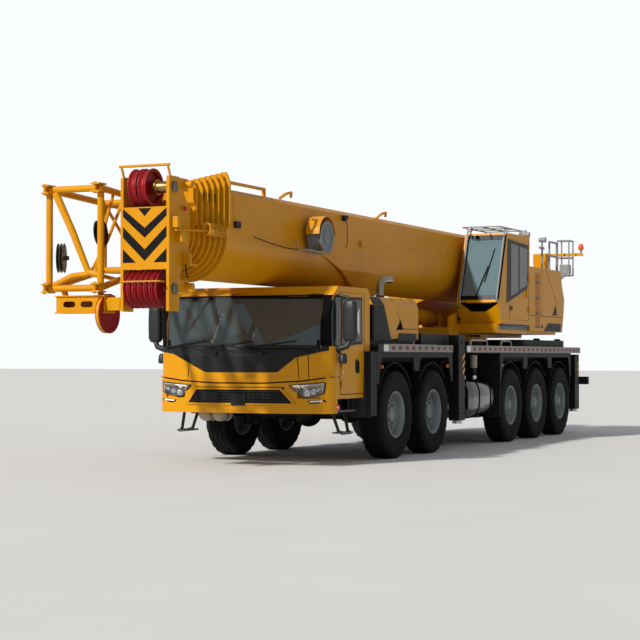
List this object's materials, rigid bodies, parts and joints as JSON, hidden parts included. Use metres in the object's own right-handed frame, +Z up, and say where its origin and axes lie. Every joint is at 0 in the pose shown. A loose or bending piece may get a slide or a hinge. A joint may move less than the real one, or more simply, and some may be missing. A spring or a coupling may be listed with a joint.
{
  "type": "mobile crane",
  "caption": "Road-going telescopic mobile crane with a driving cab, slewing operator cab, folding lattice jib and extending stabiliser legs, parked with its boom down.",
  "frame": {"origin": "on the ground under the middle of the parked crane", "axes": "+X forward along the length, +Y to the driver's left, +Z up"},
  "size_m": [15.6699, 3.39, 4.0428],
  "materials": {
    "body_yellow": "semi-gloss machine enamel",
    "boom_yellow": "semi-gloss machine enamel",
    "chassis_black": "satin chassis paint",
    "dark_grey": "satin paint",
    "tyre_black": "matte rubber",
    "glass": "clear tinted",
    "sheave_red": "satin red",
    "polished_metal": "brushed",
    "chrome_rod": "ground chrome",
    "trim_plastic": "moulded",
    "steel": "machined"
  },
  "bodies": {
    "chassis": {"chassis_frame": "chassis_black", "axle_beams": "chassis_black", "carrier_cab": "body_yellow", "cab_glass": "glass", "front_bumper": "body_yellow", "cab_interior": "trim_plastic", "cab_mirrors": "trim_plastic", "engine_hood": "body_yellow", "engine_block": "steel", "exhaust_stack": "dark_grey", "deck_plates": "dark_grey", "side_skirts": "trim_plastic", "side_tanks": "polished_metal", "cab_steps": "trim_plastic"},
    "wheel_1_left": {"wheel_1_left": "tyre_black"},
    "knuckle_1_left": {"knuckle_1_left": "chassis_black"},
    "wheel_1_right": {"wheel_1_right": "tyre_black"},
    "knuckle_1_right": {"knuckle_1_right": "chassis_black"},
    "wheel_2_left": {"wheel_2_left": "tyre_black"},
    "knuckle_2_left": {"knuckle_2_left": "chassis_black"},
    "wheel_2_right": {"wheel_2_right": "tyre_black"},
    "knuckle_2_right": {"knuckle_2_right": "chassis_black"},
    "wheel_3_left": {"wheel_3_left": "tyre_black"},
    "wheel_3_right": {"wheel_3_right": "tyre_black"},
    "wheel_4_left": {"wheel_4_left": "tyre_black"},
    "wheel_4_right": {"wheel_4_right": "tyre_black"},
    "wheel_5_left": {"wheel_5_left": "tyre_black"},
    "wheel_5_right": {"wheel_5_right": "tyre_black"},
    "cab_door_left": {"cab_door_left": "body_yellow"},
    "cab_door_right": {"cab_door_right": "body_yellow"},
    "outrigger_front_left": {"outrigger_front_left": "body_yellow"},
    "jack_front_left": {"jack_front_left": "chrome_rod"},
    "outrigger_front_right": {"outrigger_front_right": "body_yellow"},
    "jack_front_right": {"jack_front_right": "chrome_rod"},
    "outrigger_rear_left": {"outrigger_rear_left": "body_yellow"},
    "jack_rear_left": {"jack_rear_left": "chrome_rod"},
    "outrigger_rear_right": {"outrigger_rear_right": "body_yellow"},
    "jack_rear_right": {"jack_rear_right": "chrome_rod"},
    "superstructure": {"turntable": "dark_grey", "operator_cab": "body_yellow", "operator_glass": "glass", "operator_interior": "trim_plastic", "superstructure_covers": "body_yellow", "rear_rails": "steel"},
    "operator_door": {"operator_door": "body_yellow"},
    "winch_drum": {"winch_drum": "steel"},
    "boom_base": {"boom_base": "boom_yellow", "lift_bracket": "boom_yellow", "lattice_jib": "boom_yellow"},
    "cable_reel": {"cable_reel": "body_yellow"},
    "boom_section_2": {"boom_section_2": "boom_yellow"},
    "boom_section_3": {"boom_section_3": "boom_yellow"},
    "boom_section_4": {"boom_section_4": "boom_yellow"},
    "boom_section_5": {"boom_section_5": "boom_yellow"},
    "boom_section_6": {"boom_section_6": "boom_yellow"},
    "boom_section_7": {"boom_section_7_head": "boom_yellow"},
    "upper_sheaves": {"upper_sheaves": "sheave_red"},
    "lower_sheaves": {"lower_sheaves": "sheave_red"},
    "lift_barrel": {"lift_barrel": "body_yellow"},
    "lift_rod": {"lift_rod": "chrome_rod"}
  },
  "joints": [
    {"name": "steer_1_left", "type": "hinge", "parent": "chassis", "child": "knuckle_1_left", "pos_m": [2.65, 1.05, 0.67], "axis": [0, 0, 1], "range_deg": [-32, 32]},
    {"name": "spin_1_left", "type": "hinge", "parent": "knuckle_1_left", "child": "wheel_1_left", "pos_m": [2.65, 0, 0.67], "axis": [0, 1, 0], "continuous": true},
    {"name": "steer_1_right", "type": "hinge", "parent": "chassis", "child": "knuckle_1_right", "pos_m": [2.65, -1.05, 0.67], "axis": [0, 0, 1], "range_deg": [-32, 32]},
    {"name": "spin_1_right", "type": "hinge", "parent": "knuckle_1_right", "child": "wheel_1_right", "pos_m": [2.65, 0, 0.67], "axis": [0, 1, 0], "continuous": true},
    {"name": "steer_2_left", "type": "hinge", "parent": "chassis", "child": "knuckle_2_left", "pos_m": [1.03, 1.05, 0.67], "axis": [0, 0, 1], "range_deg": [-24, 24]},
    {"name": "spin_2_left", "type": "hinge", "parent": "knuckle_2_left", "child": "wheel_2_left", "pos_m": [1.03, 0, 0.67], "axis": [0, 1, 0], "continuous": true},
    {"name": "steer_2_right", "type": "hinge", "parent": "chassis", "child": "knuckle_2_right", "pos_m": [1.03, -1.05, 0.67], "axis": [0, 0, 1], "range_deg": [-24, 24]},
    {"name": "spin_2_right", "type": "hinge", "parent": "knuckle_2_right", "child": "wheel_2_right", "pos_m": [1.03, 0, 0.67], "axis": [0, 1, 0], "continuous": true},
    {"name": "spin_3_left", "type": "hinge", "parent": "chassis", "child": "wheel_3_left", "pos_m": [-3, 0, 0.67], "axis": [0, 1, 0], "continuous": true},
    {"name": "spin_3_right", "type": "hinge", "parent": "chassis", "child": "wheel_3_right", "pos_m": [-3, 0, 0.67], "axis": [0, 1, 0], "continuous": true},
    {"name": "spin_4_left", "type": "hinge", "parent": "chassis", "child": "wheel_4_left", "pos_m": [-4.58, 0, 0.67], "axis": [0, 1, 0], "continuous": true},
    {"name": "spin_4_right", "type": "hinge", "parent": "chassis", "child": "wheel_4_right", "pos_m": [-4.58, 0, 0.67], "axis": [0, 1, 0], "continuous": true},
    {"name": "spin_5_left", "type": "hinge", "parent": "chassis", "child": "wheel_5_left", "pos_m": [-6.16, 0, 0.67], "axis": [0, 1, 0], "continuous": true},
    {"name": "spin_5_right", "type": "hinge", "parent": "chassis", "child": "wheel_5_right", "pos_m": [-6.16, 0, 0.67], "axis": [0, 1, 0], "continuous": true},
    {"name": "cab_door_left_hinge", "type": "hinge", "parent": "chassis", "child": "cab_door_left", "pos_m": [4.562, 1.404, 1.7], "axis": [0, 0, -1], "range_deg": [0, 70]},
    {"name": "cab_door_right_hinge", "type": "hinge", "parent": "chassis", "child": "cab_door_right", "pos_m": [4.562, -1.404, 1.7], "axis": [0, 0, 1], "range_deg": [0, 70]},
    {"name": "outrigger_front_left_slide", "type": "slide", "parent": "chassis", "child": "outrigger_front_left", "axis": [0, 1, 0], "range_m": [0, 2.1]},
    {"name": "jack_front_left_slide", "type": "slide", "parent": "outrigger_front_left", "child": "jack_front_left", "axis": [0, 0, -1], "range_m": [0, 0.42]},
    {"name": "outrigger_front_right_slide", "type": "slide", "parent": "chassis", "child": "outrigger_front_right", "axis": [0, -1, 0], "range_m": [0, 2.1]},
    {"name": "jack_front_right_slide", "type": "slide", "parent": "outrigger_front_right", "child": "jack_front_right", "axis": [0, 0, -1], "range_m": [0, 0.42]},
    {"name": "outrigger_rear_left_slide", "type": "slide", "parent": "chassis", "child": "outrigger_rear_left", "axis": [0, 1, 0], "range_m": [0, 2.1]},
    {"name": "jack_rear_left_slide", "type": "slide", "parent": "outrigger_rear_left", "child": "jack_rear_left", "axis": [0, 0, -1], "range_m": [0, 0.42]},
    {"name": "outrigger_rear_right_slide", "type": "slide", "parent": "chassis", "child": "outrigger_rear_right", "axis": [0, -1, 0], "range_m": [0, 2.1]},
    {"name": "jack_rear_right_slide", "type": "slide", "parent": "outrigger_rear_right", "child": "jack_rear_right", "axis": [0, 0, -1], "range_m": [0, 0.42]},
    {"name": "slewing", "type": "hinge", "parent": "chassis", "child": "superstructure", "pos_m": [-3.25, 0, 1.835], "axis": [0, 0, 1], "continuous": true},
    {"name": "operator_door_hinge", "type": "hinge", "parent": "superstructure", "child": "operator_door", "pos_m": [-4.117, 1.474, 2.9], "axis": [0, 0, 1], "range_deg": [0, 85]},
    {"name": "winch", "type": "hinge", "parent": "superstructure", "child": "winch_drum", "pos_m": [-6.12, 0, 2.44], "axis": [0, 1, 0], "continuous": true},
    {"name": "luffing", "type": "hinge", "parent": "superstructure", "child": "boom_base", "pos_m": [-5.15, 0, 3.3], "axis": [0, -1, 0], "range_deg": [0, 80]},
    {"name": "cable_reel_spin", "type": "hinge", "parent": "boom_base", "child": "cable_reel", "pos_m": [3.85, 0, 3.32], "axis": [0, 1, 0], "continuous": true},
    {"name": "telescope_2", "type": "slide", "parent": "boom_base", "child": "boom_section_2", "axis": [1, 0, 0], "range_m": [0, 9.5]},
    {"name": "telescope_3", "type": "slide", "parent": "boom_section_2", "child": "boom_section_3", "axis": [1, 0, 0], "range_m": [0, 9.5]},
    {"name": "telescope_4", "type": "slide", "parent": "boom_section_3", "child": "boom_section_4", "axis": [1, 0, 0], "range_m": [0, 9.5]},
    {"name": "telescope_5", "type": "slide", "parent": "boom_section_4", "child": "boom_section_5", "axis": [1, 0, 0], "range_m": [0, 9.5]},
    {"name": "telescope_6", "type": "slide", "parent": "boom_section_5", "child": "boom_section_6", "axis": [1, 0, 0], "range_m": [0, 9.5]},
    {"name": "telescope_7", "type": "slide", "parent": "boom_section_6", "child": "boom_section_7", "axis": [1, 0, 0], "range_m": [0, 9.5]},
    {"name": "upper_sheaves_spin", "type": "hinge", "parent": "boom_section_7", "child": "upper_sheaves", "pos_m": [7.59, 0, 3.75], "axis": [0, 1, 0], "continuous": true},
    {"name": "lower_sheaves_spin", "type": "hinge", "parent": "boom_section_7", "child": "lower_sheaves", "pos_m": [7.59, 0, 2.43], "axis": [0, 1, 0], "continuous": true},
    {"name": "lift_barrel_hinge", "type": "hinge", "parent": "superstructure", "child": "lift_barrel", "pos_m": [-2.9, 0, 2.25], "axis": [0, -1, 0], "range_deg": [-0.5, 90.45]},
    {"name": "lift_rod_slide", "type": "slide", "parent": "lift_barrel", "child": "lift_rod", "axis": [0.999, 0, 0.0452], "range_m": [-0.005, 3.0621]}
  ],
  "couplings": [
    {"joint": "steer_1_right", "follows": "steer_1_left", "ratio": 1},
    {"joint": "steer_2_left", "follows": "steer_1_left", "ratio": 0.75},
    {"joint": "steer_2_right", "follows": "steer_1_left", "ratio": 0.75},
    {"joint": "lift_barrel_hinge", "follows": "luffing", "ratio": 1.1243},
    {"joint": "lift_rod_slide", "follows": "luffing", "m_per_rad": 2.1895}
  ]
}
